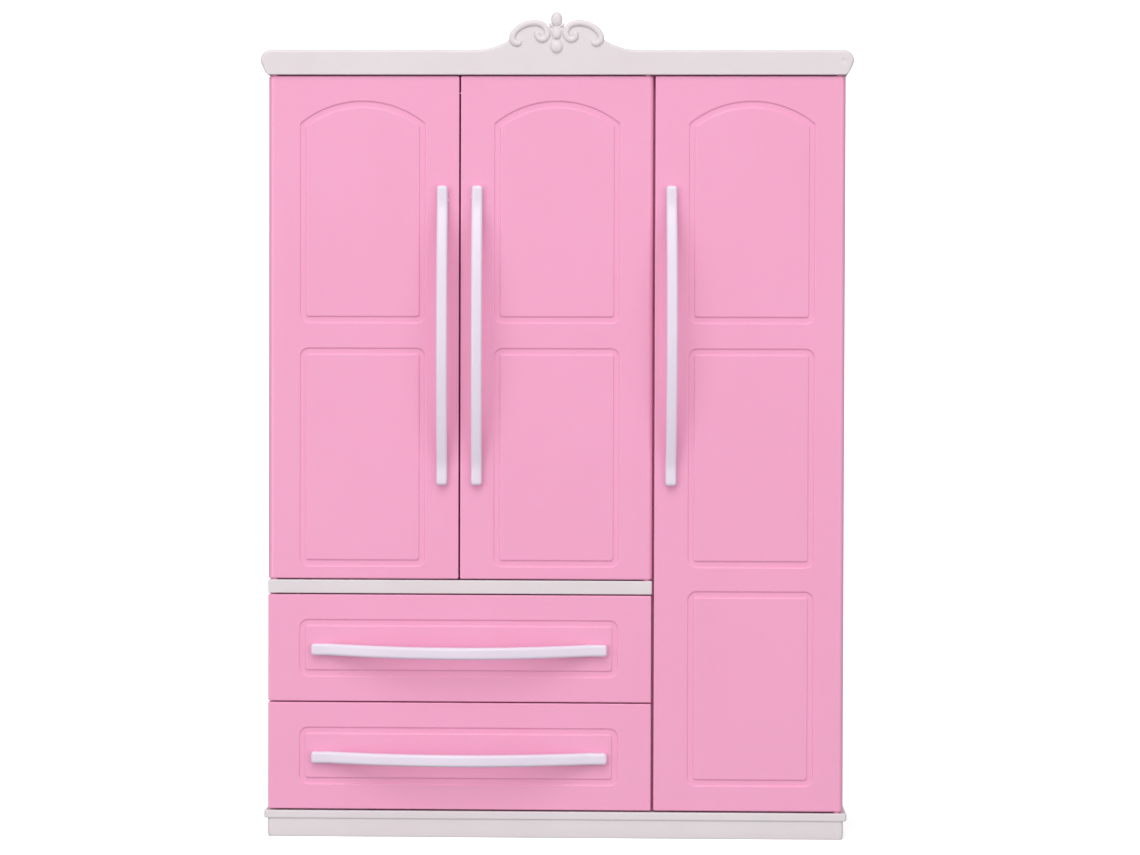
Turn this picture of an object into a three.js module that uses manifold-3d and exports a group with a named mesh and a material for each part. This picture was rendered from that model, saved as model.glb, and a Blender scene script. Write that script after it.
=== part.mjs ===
// A fashion-doll wardrobe at about one-sixth scale, moulded in pink and ivory plastic: a clip-together
// carcass with three hinged doors, two drawers, a hanging space with a clothes rail, and a shelved bay.
// Millimetres, +Z up. The doors face -Y and the left door is at -X. The origin is on the floor, in the
// middle of the bounding box.

import * as THREE from "three";
import { mergeVertices } from "three/addons/utils/BufferGeometryUtils.js";
import Module from "manifold-3d";

const wasm = await Module();
wasm.setup();

// ---------------------------------------------------------------- driving dimensions

// Overall envelope
const HALF_WIDTH = 108.15; // across the doors and the side panels
const HEIGHT = 310; // floor to the tip of the crest
const BACK = 43.5; // rear face of the plinth and the cornice
const FRONT = -33; // face of the doors and the drawers

// Mouldings
const WALL = 2.2; // carcass panels
const FIT = 0.25; // clearance round a tab or along a joint
const EDGE = 0.2; // gap between two panels that meet

// Levels
const PLINTH_TOP = 9.9;
const FRONT_BOTTOM = 10.5; // lower edge of the right door and the lower drawer
const FRONT_GAP = 0.45; // between neighbouring fronts
const DRAWER_HEIGHT = 40.2;
const RAIL_HEIGHT = 5.1; // visible front edge of the middle deck
const CORNICE_BOTTOM = 286.45;
const CORNICE_TOP = 295.9;
const DOOR_TOP = CORNICE_BOTTOM - 0.4;
const UPPER_DRAWER_BOTTOM = FRONT_BOTTOM + DRAWER_HEIGHT + FRONT_GAP;
const RAIL_BOTTOM = UPPER_DRAWER_BOTTOM + DRAWER_HEIGHT + FRONT_GAP;
const RAIL_TOP = RAIL_BOTTOM + RAIL_HEIGHT;
const UPPER_DOOR_BOTTOM = RAIL_TOP + FRONT_GAP;

// Columns
const LEFT_DOOR = [-HALF_WIDTH, -36.45];
const MIDDLE_DOOR = [-35.85, 36.35];
const RIGHT_DOOR = [37.05, HALF_WIDTH];
const DRAWERS = [-HALF_WIDTH, 36.05];
const RAIL = [-HALF_WIDTH, MIDDLE_DOOR[1]]; // front edge of the middle deck
const DIVIDER = [36.45 - WALL / 2, 36.45 + WALL / 2];

// Doors and drawer fronts: hollow-backed mouldings
const DOOR_THICKNESS = 4.5;
const BARREL = DOOR_THICKNESS / 2; // radius of the rounded hinge edge, on the pin's axis
const SKIN = 1.9; // face of a door behind which the pocket starts
const RIM = 1.8; // rim round the pocket
const RIB = 1.5; // stiffening rib across the pocket
const PIN_RADIUS = 1.2;
const PIN_LENGTH = 3;
const PIN_HOLE_RADIUS = 1.4;
const PIN_HOLE_DEPTH = 3.1;
const HINGE_Y = FRONT + BARREL;
const DOOR_BACK = FRONT + DOOR_THICKNESS;
const CARCASS_FRONT = DOOR_BACK + 0.4;

// Sunk channels that outline the door and drawer panels
const CHANNEL_WIDTH = 2.3;
const CHANNEL_DEPTH = 0.5;
const CHANNEL_CORNER = 3.4;
const PANEL_WIDTH = 47.1;
const PANEL_FREE_MARGIN = 12.65; // from the door's free edge to its panels
const ARCH_RISE = 8.7;
const UPPER_PANEL = [193.7, 267.9]; // up to the shoulders of the arch
const MIDDLE_PANEL = [102.2, 184.1];
const LOWER_PANEL = [20, 93.1];
const DRAWER_PANEL_WIDTH = 119.9;
const DRAWER_PANEL_HEIGHT = 21.3;
const DRAWER_PANEL_MARGIN = 11.85; // from the drawer front's left edge

// Handles: bowed bars, those of the drawers a little shorter and wider than those of the doors
const DOOR_HANDLE = { length: 112.4, width: 4.1, lean: -0.3 };
const UPPER_DRAWER_HANDLE = { length: 111.3, width: 4.5, lean: 0.7 };
const LOWER_DRAWER_HANDLE = { ...UPPER_DRAWER_HANDLE, lean: 0.2 };
const HANDLE_THICKNESS = 2.8;
const HANDLE_FOOT = 3; // outer face above the door at the feet
const HANDLE_BOW = 7.5; // how much further the middle stands out
const HANDLE_ARC = 48.9; // half the bowed stretch
const PEG_OFFSET = 52.5;
const PEG_RADIUS = 1.4;
const PEG_HOLE_RADIUS = 1.6;
const PEG_LENGTH = 3.05;
const DOOR_HANDLE_Z = 188.8;
const DOOR_HANDLE_INSET = 6.2; // from the door's free edge

// Inside
const SHELF_THICKNESS = 2;
const SHELF_LEVELS = [78, 148, 218];
const LEDGE = 1.3;
const CLOTHES_RAIL_Z = 268;
const CLOTHES_RAIL_Y = 6;
const CLOTHES_RAIL_RADIUS = 2;
const SOCKET_RADIUS = 4.2;
const SOCKET_LENGTH = 5;
const TRAY_WALL = 1.8;
const TRAY_HEIGHT = 34;
const TRAY_LENGTH = 65.5;
const TRAY_RISE = 1.1; // underside above the drawer front's lower edge

const inside = [-HALF_WIDTH + 0.3 + WALL, HALF_WIDTH - 0.3 - WALL]; // faces of the side panels

// ---------------------------------------------------------------- solids

// A closed geometry as a solid that can be cut and joined.
function solid(geometry) {
  const bare = geometry.clone();
  bare.deleteAttribute("normal");
  bare.deleteAttribute("uv");
  const merged = mergeVertices(bare, 1e-4);
  return new wasm.Manifold(
    new wasm.Mesh({
      numProp: 3,
      vertProperties: merged.attributes.position.array,
      triVerts: new Uint32Array(merged.index.array),
    }),
  );
}

// A solid's surface as a geometry.
function surface(body) {
  const { vertProperties, triVerts } = body.getMesh();
  const geometry = new THREE.BufferGeometry();
  geometry.setAttribute("position", new THREE.BufferAttribute(new Float32Array(vertProperties), 3));
  geometry.setIndex(new THREE.BufferAttribute(new Uint32Array(triVerts), 1));
  geometry.computeVertexNormals();
  return geometry;
}

// A rectangular block between two limits along each axis.
function block([x0, x1], [y0, y1], [z0, z1]) {
  const geometry = new THREE.BoxGeometry(x1 - x0, y1 - y0, z1 - z0);
  geometry.translate((x0 + x1) / 2, (y0 + y1) / 2, (z0 + z1) / 2);
  return solid(geometry);
}

// A round bar between two points that differ along one axis.
function bar(radius, from, to, sides = 16) {
  const along = new THREE.Vector3().subVectors(to, from);
  const geometry = new THREE.CylinderGeometry(radius, radius, along.length(), sides);
  const turn = new THREE.Quaternion().setFromUnitVectors(
    new THREE.Vector3(0, 1, 0),
    along.clone().normalize(),
  );
  geometry.applyQuaternion(turn);
  geometry.translate(...new THREE.Vector3().addVectors(from, to).multiplyScalar(0.5));
  return solid(geometry);
}

const at = (x, y, z) => new THREE.Vector3(x, y, z);

// An outline drawn in X and Y, raised from z0 to z1.
function raised(shape, z0, z1, curveSegments = 8) {
  const options = { depth: z1 - z0, bevelEnabled: false, curveSegments };
  return solid(new THREE.ExtrudeGeometry(shape, options).translate(0, 0, z0));
}

// An outline drawn in X and Z, as seen from the front, from y0 back to y1.
function facing(shape, y0, y1, curveSegments = 6) {
  const options = { depth: y1 - y0, bevelEnabled: false, curveSegments };
  return solid(new THREE.ExtrudeGeometry(shape, options).rotateX(Math.PI / 2).translate(0, y1, 0));
}

// An ellipsoid with its poles up and down.
function egg([x, y, z], [rx, ry, rz]) {
  const geometry = new THREE.SphereGeometry(1, 10, 8).rotateX(Math.PI / 2);
  return solid(geometry.scale(rx, ry, rz).translate(x, y, z));
}

const joined = (bodies) => bodies.reduce((whole, body) => whole.add(body));

const cut = (body, cutters) => cutters.reduce((left, cutter) => left.subtract(cutter), body);

// ---------------------------------------------------------------- materials

const pinkPlastic = new THREE.MeshStandardMaterial({ color: 0xf3a5cb, roughness: 0.38, metalness: 0 });
const ivoryPlastic = new THREE.MeshStandardMaterial({ color: 0xeae2e4, roughness: 0.42, metalness: 0 });
const whitePlastic = new THREE.MeshStandardMaterial({ color: 0xf1e8f6, roughness: 0.35, metalness: 0 });

// ---------------------------------------------------------------- panel channels

// The outline of a panel centred on x = 0, with round lower corners and, over an arch, plain shoulders.
function panelOutline(halfWidth, [z0, z1], corner, arch) {
  const outline = new THREE.Shape();
  outline.moveTo(-halfWidth, z0 + corner);
  outline.absarc(-halfWidth + corner, z0 + corner, corner, Math.PI, 1.5 * Math.PI);
  outline.absarc(halfWidth - corner, z0 + corner, corner, -0.5 * Math.PI, 0);
  if (arch) {
    const shoulder = Math.acos(halfWidth / arch.radius);
    outline.absarc(0, arch.centre, arch.radius, shoulder, Math.PI - shoulder);
  } else {
    outline.absarc(halfWidth - corner, z1 - corner, corner, 0, 0.5 * Math.PI);
    outline.absarc(-halfWidth + corner, z1 - corner, corner, 0.5 * Math.PI, Math.PI);
  }
  return outline;
}

// The cutter of one sunk channel, in the frame of a front whose face is at y = face.
function channel(centreX, width, levels, face, arched = false) {
  const half = width / 2;
  const radius = (half * half + ARCH_RISE * ARCH_RISE) / (2 * ARCH_RISE);
  const centre = levels[1] + ARCH_RISE - radius;
  const innerHalf = half - CHANNEL_WIDTH;
  const innerLevels = [levels[0] + CHANNEL_WIDTH, levels[1] - CHANNEL_WIDTH];
  const innerCorner = CHANNEL_CORNER - CHANNEL_WIDTH;
  const outer = panelOutline(half, levels, CHANNEL_CORNER, arched && { centre, radius });
  const innerArch = arched && { centre, radius: radius - CHANNEL_WIDTH };
  outer.holes.push(panelOutline(innerHalf, innerLevels, innerCorner, innerArch));
  return facing(outer, face - 1, face + CHANNEL_DEPTH).translate(centreX, 0, 0);
}

// ---------------------------------------------------------------- handles

// The bowed bar lies along X on a face at y = 0 and stands out towards -Y. Its middle leans by lean
// towards -Z, and two pegs run back through the face.
function handle({ length, width, lean }) {
  const half = length / 2;
  const sole = HANDLE_FOOT - HANDLE_THICKNESS;
  const side = new THREE.Shape();
  side.moveTo(-half, HANDLE_FOOT);
  side.lineTo(-HANDLE_ARC, HANDLE_FOOT);
  side.quadraticCurveTo(0, HANDLE_FOOT + 2 * HANDLE_BOW, HANDLE_ARC, HANDLE_FOOT);
  side.lineTo(half, HANDLE_FOOT);
  side.lineTo(half, sole);
  side.lineTo(HANDLE_ARC, sole);
  side.quadraticCurveTo(0, sole + 2 * HANDLE_BOW, -HANDLE_ARC, sole);
  side.lineTo(-half, sole);
  const options = { depth: width, bevelEnabled: false, curveSegments: 14 };
  const bow = new THREE.ExtrudeGeometry(side, options);
  bow.rotateX(Math.PI).translate(0, 0, width / 2);
  const place = bow.attributes.position;
  for (let i = 0; i < place.count; i++) {
    const share = Math.max(0, 1 - (place.getX(i) / HANDLE_ARC) ** 2);
    place.setZ(i, place.getZ(i) - lean * share);
  }
  const pegs = [-PEG_OFFSET, PEG_OFFSET].map((x) =>
    bar(PEG_RADIUS, at(x, -1.2, 0), at(x, PEG_LENGTH, 0), 12),
  );
  return surface(joined([solid(bow), ...pegs]));
}

// The holes that a handle's pegs pass through, in a face at y = face. The handle runs along the given axis.
function pegHoles(x, z, face, vertical) {
  return [-PEG_OFFSET, PEG_OFFSET].map((offset) => {
    const [px, pz] = vertical ? [x, z + offset] : [x + offset, z];
    return bar(PEG_HOLE_RADIUS, at(px, face - 1, pz), at(px, face + DOOR_THICKNESS, pz), 12);
  });
}

// ---------------------------------------------------------------- doors

// A door in the frame of its own hinge: the pins' axis is x = y = 0, and the door reaches towards side.
function door(width, side, [bottom, top], panels) {
  const reach = width - BARREL;
  const section = new THREE.Shape();
  section.moveTo(0, -BARREL);
  section.lineTo(side * reach, -BARREL);
  section.lineTo(side * reach, BARREL);
  section.lineTo(0, BARREL);
  section.absarc(0, 0, BARREL, 0.5 * Math.PI, 1.5 * Math.PI, side < 0);
  const pins = [
    [top - 1, top + PIN_LENGTH],
    [bottom - PIN_LENGTH, bottom + 1],
  ].map(([z0, z1]) => bar(PIN_RADIUS, at(0, 0, z0), at(0, 0, z1)));
  const slab = joined([raised(section, bottom, top), ...pins]);

  // The hollow back is split into cells by a rib level with each rail between two panels.
  const pocketX = [side * (BARREL + 1), side * (reach - RIM)].sort((a, b) => a - b);
  const ribs = panels.slice(1).map((panel, i) => (panels[i][1] + panel[0]) / 2);
  const floors = [bottom + RIM, ...ribs.map((z) => z + RIB / 2)];
  const ceilings = [...ribs.map((z) => z - RIB / 2), top - RIM];
  const cells = floors.map((z0, i) =>
    block(pocketX, [-BARREL + SKIN, BARREL + 1], [z0, ceilings[i]]),
  );

  const panelX = side * (reach - PANEL_FREE_MARGIN - PANEL_WIDTH / 2);
  const channels = panels.map((levels) =>
    channel(panelX, PANEL_WIDTH, levels, -BARREL, levels === UPPER_PANEL),
  );
  const handleX = side * (reach - DOOR_HANDLE_INSET);
  return surface(
    cut(slab, [...cells, ...channels, ...pegHoles(handleX, DOOR_HANDLE_Z, -BARREL, true)]),
  );
}

// ---------------------------------------------------------------- drawers

const drawerWidth = DRAWERS[1] - DRAWERS[0];
const drawerCentre = (DRAWERS[0] + DRAWERS[1]) / 2;
const drawerPanelX = DRAWER_PANEL_MARGIN + DRAWER_PANEL_WIDTH / 2 - drawerWidth / 2;
const drawerHandleZ = DRAWER_HEIGHT / 2 - 0.5;
const pocketHalf = drawerWidth / 2 - RIM;

// A drawer front, centred on x = 0 with its lower edge at z = 0 and its face at y = FRONT.
function drawerFront() {
  const half = drawerWidth / 2;
  const slab = block([-half, half], [FRONT, DOOR_BACK], [0, DRAWER_HEIGHT]);
  const pocket = block(
    [-pocketHalf, pocketHalf],
    [FRONT + SKIN, DOOR_BACK + 1],
    [RIM, DRAWER_HEIGHT - RIM],
  );
  const middle = DRAWER_HEIGHT / 2;
  const levels = [middle - DRAWER_PANEL_HEIGHT / 2, middle + DRAWER_PANEL_HEIGHT / 2];
  const groove = channel(drawerPanelX, DRAWER_PANEL_WIDTH, levels, FRONT);
  return surface(
    cut(slab, [pocket, groove, ...pegHoles(0, drawerHandleZ, FRONT, false)]),
  );
}

// The open tray behind it, with a raised plate on its front wall that plugs into the front's pocket.
function drawerTray() {
  const clearance = 1;
  const left = inside[0] + clearance - drawerCentre;
  const right = DIVIDER[0] - clearance - drawerCentre;
  const front = DOOR_BACK + EDGE;
  const back = front + TRAY_LENGTH;
  const floor = TRAY_RISE;
  const plugDepth = 1.2;
  const shell = block([left, right], [front, back], [floor, floor + TRAY_HEIGHT]);
  const plug = block(
    [left + 6, right - 6],
    [DOOR_BACK - plugDepth, front + 1],
    [RIM + FIT + 1, floor + TRAY_HEIGHT - 3],
  );
  const hollow = block(
    [left + TRAY_WALL, right - TRAY_WALL],
    [front + TRAY_WALL, back - TRAY_WALL],
    [floor + TRAY_WALL, floor + TRAY_HEIGHT + 1],
  );
  return surface(cut(joined([shell, plug]), [hollow]));
}

// ---------------------------------------------------------------- carcass

const PANEL_FOOT = PLINTH_TOP + EDGE;
const PANEL_HEAD = CORNICE_BOTTOM - EDGE;
const sidePanel = [HALF_WIDTH - 0.3 - WALL, HALF_WIDTH - 0.3]; // |x| of its two faces
const backPanel = [BACK - 0.3 - WALL, BACK - 0.3];
const CEILING = CORNICE_TOP - WALL; // underside of the cornice's top plate
const RECESS = { half: sidePanel[0] - 1.6, front: CARCASS_FRONT + 0.6, back: backPanel[0] - 1.4 };
const deckBack = backPanel[0] - 0.3;
const TAB = 1.3; // thickness of a locating tab
const TAB_HALF_WIDTH = 6;
const TAB_HEAD = 3; // how far a tab reaches into the cornice
const TAB_FOOT = 2.2; // how far it reaches into the plinth

// Locating tabs as [x limits, y limits], flush with the panels' inner faces, at each panel's head and foot.
const along = (middle) => [middle - TAB_HALF_WIDTH, middle + TAB_HALF_WIDTH];
const sideTabs = [-1, 1].flatMap((side) => {
  const x = [side * sidePanel[0], side * (sidePanel[0] + TAB)].sort((a, b) => a - b);
  return [-4, 26].map((y) => [x, along(y)]);
});
const backTabs = [-70, 0, 70].map((x) => [along(x), [backPanel[0], backPanel[0] + TAB]]);
const dividerMiddle = (DIVIDER[0] + DIVIDER[1]) / 2;
const dividerTabs = [-4, 26].map((y) => [[dividerMiddle - TAB / 2, dividerMiddle + TAB / 2], along(y)]);

const grown = ([low, high]) => [low - FIT, high + FIT];
const headTab = ([x, y]) => block(x, y, [PANEL_HEAD - 1, PANEL_HEAD + TAB_HEAD]);
const footTab = ([x, y]) => block(x, y, [PANEL_FOOT - TAB_FOOT, PANEL_FOOT + 1]);
const headSlot = ([x, y]) => block(grown(x), grown(y), [CORNICE_BOTTOM - 1, PANEL_HEAD + TAB_HEAD + FIT]);
const footSlot = ([x, y]) => block(grown(x), grown(y), [PLINTH_TOP - WALL - 1, PLINTH_TOP + 1]);

// Ledges that carry the edge of each shelf, standing out from a wall face at x towards side.
function ledges(x, side, undersides) {
  const limits = [x - side, x + side * LEDGE].sort((a, b) => a - b);
  return undersides.map((z) => block(limits, [-20, 38], [z - EDGE - 1.5, z - EDGE]));
}

const DECK_UNDERSIDE = RAIL_TOP - 2.7;
const DRAWER_SHELF = [UPPER_DRAWER_BOTTOM - 1.3, UPPER_DRAWER_BOTTOM + 0.7];
const leftLedges = [DRAWER_SHELF[0], DECK_UNDERSIDE];

// The blind hole that takes a rail socket's peg, in a wall face at x.
const SOCKET_PEG = 1.5;
const socketHole = (x, side) =>
  bar(
    SOCKET_PEG + 0.15,
    at(x - side * 1.6, CLOTHES_RAIL_Y, CLOTHES_RAIL_Z),
    at(x + side, CLOTHES_RAIL_Y, CLOTHES_RAIL_Z),
    12,
  );

function sideWall(side) {
  const x = [side * sidePanel[0], side * sidePanel[1]].sort((a, b) => a - b);
  const face = side * sidePanel[0];
  const tabs = sideTabs.filter(([limits]) => Math.sign(limits[0]) === side);
  const board = block(x, [CARCASS_FRONT, backPanel[1]], [PANEL_FOOT, PANEL_HEAD]);
  const supports = ledges(face, -side, side < 0 ? leftLedges : SHELF_LEVELS);
  const holes = side < 0 ? [socketHole(face, 1)] : [];
  return surface(
    cut(joined([board, ...supports, ...tabs.map(headTab), ...tabs.map(footTab)]), holes),
  );
}

// The upright between the left bays and the right one. Its head runs on up inside the cornice.
function dividerWall() {
  const board = block(DIVIDER, [CARCASS_FRONT, deckBack], [PANEL_FOOT, PANEL_HEAD]);
  const head = block(DIVIDER, [RECESS.front + 0.4, RECESS.back - 0.4], [PANEL_HEAD - 1, CEILING - 0.3]);
  const supports = [...ledges(DIVIDER[0], -1, leftLedges), ...ledges(DIVIDER[1], 1, SHELF_LEVELS)];
  return surface(
    cut(joined([board, head, ...supports, ...dividerTabs.map(footTab)]), [socketHole(DIVIDER[0], -1)]),
  );
}

function backWall() {
  const board = block([inside[0] + 0.3, inside[1] - 0.3], backPanel, [PANEL_FOOT, PANEL_HEAD]);
  return surface(joined([board, ...backTabs.map(headTab), ...backTabs.map(footTab)]));
}

const leftBay = [inside[0] + 0.3, DIVIDER[0] - 0.3];
const rightBay = [DIVIDER[1] + 0.25, inside[1] - 0.25];
const hingeX = {
  left: LEFT_DOOR[0] + BARREL,
  middle: MIDDLE_DOOR[1] - BARREL,
  right: RIGHT_DOOR[1] - BARREL,
};

// The floor of the hanging space. Its thick front edge shows as a rail and holds two doors' lower pins.
function middleDeck() {
  const rail = block(RAIL, [FRONT, CARCASS_FRONT - 0.3], [RAIL_BOTTOM, RAIL_TOP]);
  const deck = block(leftBay, [CARCASS_FRONT - 1, deckBack], [DECK_UNDERSIDE, RAIL_TOP]);
  const holes = [hingeX.left, hingeX.middle].map((x) =>
    bar(PIN_HOLE_RADIUS, at(x, HINGE_Y, RAIL_TOP - PIN_HOLE_DEPTH), at(x, HINGE_Y, RAIL_TOP + 1)),
  );
  return surface(cut(joined([rail, deck]), holes));
}

const drawerShelf = () => surface(block(leftBay, [CARCASS_FRONT + 2, deckBack], DRAWER_SHELF));

// A loose shelf of the right bay, with its underside at z = 0.
const bayShelf = () => surface(block(rightBay, [-24, deckBack], [0, SHELF_THICKNESS]));

// A rectangular outline in plan, from the front to the back.
function plan(halfWidth, y0, y1) {
  const outline = new THREE.Shape();
  outline.moveTo(-halfWidth, y0);
  outline.lineTo(halfWidth, y0);
  outline.lineTo(halfWidth, y1);
  outline.lineTo(-halfWidth, y1);
  return outline;
}

// The base: a shell open underneath, with a raised band under the doors.
function plinth() {
  const bandBottom = 7;
  const bandOut = 1.4; // past the sides
  const bandProud = 0.5; // of the front
  const bandSoft = 0.6; // height of its rounded edges
  const footprint = plan(HALF_WIDTH, FRONT, BACK);
  const bandPlan = plan(HALF_WIDTH, FRONT + bandOut - bandProud, BACK);
  const bandOptions = {
    depth: PLINTH_TOP - bandBottom - 2 * bandSoft,
    bevelThickness: bandSoft,
    bevelSize: bandOut,
    bevelSegments: 3,
  };
  const band = new THREE.ExtrudeGeometry(bandPlan, bandOptions).translate(0, 0, bandBottom + bandSoft);
  const behind = block([-HALF_WIDTH - 5, HALF_WIDTH + 5], [BACK, BACK + 5], [-1, HEIGHT]);
  const skirt = raised(footprint, 0, bandBottom + 0.5);
  const wall = 2;
  const ribs = [-36, 36].map((x) => [x - 0.8, x + 0.8]);
  const starts = [-HALF_WIDTH + wall, ...ribs.map((rib) => rib[1])];
  const ends = [...ribs.map((rib) => rib[0]), HALF_WIDTH - wall];
  const cells = starts.map((x, i) =>
    block([x, ends[i]], [FRONT + wall, BACK - wall], [-1, PLINTH_TOP - WALL]),
  );
  const hinge = at(hingeX.right, HINGE_Y, 0);
  const boss = block([hinge.x - 4, HALF_WIDTH - 0.5], [FRONT + 0.5, HINGE_Y + 4], [4.5, PLINTH_TOP - 0.5]);
  const pinHole = bar(
    PIN_HOLE_RADIUS,
    hinge.clone().setZ(PLINTH_TOP - PIN_HOLE_DEPTH),
    hinge.clone().setZ(PLINTH_TOP + 1),
  );
  const runners = [-95, 25].map((x) =>
    block([x - 1, x + 1], [-24, 38], [PLINTH_TOP - 1, FRONT_BOTTOM + TRAY_RISE - 0.3]),
  );
  const shell = cut(joined([skirt, solid(band)]), [behind, ...cells]);
  const slots = [...sideTabs, ...backTabs, ...dividerTabs].map(footSlot);
  return surface(cut(joined([shell, boss, ...runners]), [pinHole, ...slots]));
}

// ---------------------------------------------------------------- cornice

const CORNICE_FRONT = FRONT - 1.2;
const CORNICE_OUT = 3; // how far its ends swell past the side panels
const CREST_THICKNESS = 3;

// The front view of the cornice without its crest: each end slopes out, then swells and rounds over.
function corniceOutline() {
  const swellCentre = CORNICE_TOP - 4;
  const swellStart = -0.85; // angle where the slope meets the swell
  const meet = [
    HALF_WIDTH + CORNICE_OUT * Math.cos(swellStart),
    swellCentre + 4 * Math.sin(swellStart),
  ];
  const outline = new THREE.Shape();
  outline.moveTo(-HALF_WIDTH, CORNICE_BOTTOM);
  outline.lineTo(HALF_WIDTH, CORNICE_BOTTOM);
  outline.lineTo(...meet);
  outline.absellipse(HALF_WIDTH, swellCentre, CORNICE_OUT, 4, swellStart, Math.PI / 2);
  outline.absellipse(-HALF_WIDTH, swellCentre, CORNICE_OUT, 4, Math.PI / 2, Math.PI - swellStart);
  return outline;
}

// The centre line of the right-hand scroll of the crest, from its outer curl to its inner one.
const scrollLine = [
  [13.5, 298.3],
  [14.8, 297.6],
  [16.3, 298.4],
  [16.6, 300],
  [15.6, 301.8],
  [13.3, 303.8],
  [10.5, 305.3],
  [7.3, 305.8],
  [4.9, 305.2],
  [3.6, 303.8],
  [3.2, 302],
  [3.8, 300.1],
  [5.1, 299.1],
  [6.6, 299.4],
  [7.4, 300.7],
  [7.3, 302],
];

// The board that the crest's relief stands on: it sweeps up from the cornice to behind the scrolls.
function crestBoard() {
  const outline = new THREE.Shape();
  outline.moveTo(-30, CORNICE_TOP - 2);
  outline.lineTo(30, CORNICE_TOP - 2);
  outline.lineTo(30, CORNICE_TOP);
  outline.quadraticCurveTo(23.5, CORNICE_TOP + 0.2, 17.2, 299);
  outline.quadraticCurveTo(15, 305.4, 7.3, 305.8);
  outline.quadraticCurveTo(3, 305.6, 0, 306.2);
  outline.quadraticCurveTo(-3, 305.6, -7.3, 305.8);
  outline.quadraticCurveTo(-15, 305.4, -17.2, 299);
  outline.quadraticCurveTo(-23.5, CORNICE_TOP + 0.2, -30, CORNICE_TOP);
  return facing(outline, CORNICE_FRONT, CORNICE_FRONT + CREST_THICKNESS, 5);
}

function scroll(side) {
  const radius = 1.15;
  const points = scrollLine.map(([x, z]) => at(side * x, CORNICE_FRONT, z));
  const section = new THREE.Shape();
  section.absarc(0, 0, radius, 0, 2 * Math.PI);
  const options = {
    steps: 26,
    curveSegments: 4,
    bevelEnabled: false,
    extrudePath: new THREE.CatmullRomCurve3(points),
  };
  return solid(new THREE.ExtrudeGeometry(section, options));
}

function cornice() {
  const body = facing(corniceOutline(), CORNICE_FRONT, BACK, 5);
  const beads = [
    egg([0, CORNICE_FRONT + 1.1, HEIGHT - 2.4], [1.95, 1.6, 2.4]),
    egg([0, CORNICE_FRONT - 0.1, 301.9], [1.6, 1.2, 2]),
    egg([0, CORNICE_FRONT - 0.1, 297], [1.9, 1.2, 2.4]),
  ];
  const hollow = block(
    [-RECESS.half, RECESS.half],
    [RECESS.front, RECESS.back],
    [CORNICE_BOTTOM - 1, CEILING],
  );
  const pinHoles = Object.values(hingeX).map((x) =>
    bar(
      PIN_HOLE_RADIUS,
      at(x, HINGE_Y, CORNICE_BOTTOM - 1),
      at(x, HINGE_Y, CORNICE_BOTTOM + PIN_HOLE_DEPTH),
    ),
  );
  const whole = joined([body, crestBoard(), scroll(-1), scroll(1), ...beads]);
  return surface(cut(whole, [hollow, ...pinHoles, ...[...sideTabs, ...backTabs].map(headSlot)]));
}

// ---------------------------------------------------------------- clothes rail

// A cup on a wall face at x, opening towards side, with a peg in the wall.
function railSocket(x, side) {
  const floor = 1;
  const centre = (depth) => at(x + side * depth, CLOTHES_RAIL_Y, CLOTHES_RAIL_Z);
  const cup = bar(SOCKET_RADIUS, centre(EDGE), centre(SOCKET_LENGTH), 20);
  const peg = bar(SOCKET_PEG, centre(-1.4), centre(floor), 12);
  const bore = bar(CLOTHES_RAIL_RADIUS + 0.2, centre(EDGE + floor), centre(SOCKET_LENGTH + 1), 20);
  return surface(cut(joined([cup, peg]), [bore]));
}

function clothesRail() {
  const start = inside[0] + EDGE + 1.2;
  const end = DIVIDER[0] - EDGE - 1.2;
  const height = [CLOTHES_RAIL_Y, CLOTHES_RAIL_Z];
  return surface(bar(CLOTHES_RAIL_RADIUS, at(start, ...height), at(end, ...height), 20));
}

// ---------------------------------------------------------------- assembly

const wardrobe = new THREE.Group();

function add(parent, name, geometry, material, position = [0, 0, 0]) {
  const mesh = new THREE.Mesh(geometry, material);
  mesh.name = name;
  mesh.position.set(...position);
  parent.add(mesh);
  return mesh;
}

add(wardrobe, "plinth", plinth(), ivoryPlastic);
add(wardrobe, "cornice", cornice(), ivoryPlastic);
add(wardrobe, "middle_deck", middleDeck(), ivoryPlastic);
add(wardrobe, "side_panel_left", sideWall(-1), pinkPlastic);
add(wardrobe, "side_panel_right", sideWall(1), pinkPlastic);
add(wardrobe, "divider", dividerWall(), pinkPlastic);
add(wardrobe, "back_panel", backWall(), pinkPlastic);
add(wardrobe, "drawer_shelf", drawerShelf(), pinkPlastic);
["lower", "middle", "upper"].forEach((level, i) =>
  add(wardrobe, `shelf_${level}`, bayShelf(), ivoryPlastic, [0, 0, SHELF_LEVELS[i]]),
);
add(wardrobe, "rail_socket_left", railSocket(inside[0], 1), whitePlastic);
add(wardrobe, "rail_socket_right", railSocket(DIVIDER[0], -1), whitePlastic);
add(wardrobe, "clothes_rail", clothesRail(), whitePlastic);

// Each door's group stands on its hinge axis.
function addDoor(name, [x0, x1], side, bottom, panels) {
  const hinge = new THREE.Group();
  hinge.position.set(hingeX[name], HINGE_Y, 0);
  add(hinge, `door_${name}`, door(x1 - x0, side, [bottom, DOOR_TOP], panels), pinkPlastic);
  const handleX = side * (x1 - x0 - BARREL - DOOR_HANDLE_INSET);
  const place = [handleX, -BARREL, DOOR_HANDLE_Z];
  const bow = add(hinge, `handle_${name}`, handle(DOOR_HANDLE), whitePlastic, place);
  bow.rotation.y = Math.PI / 2;
  wardrobe.add(hinge);
}

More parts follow.
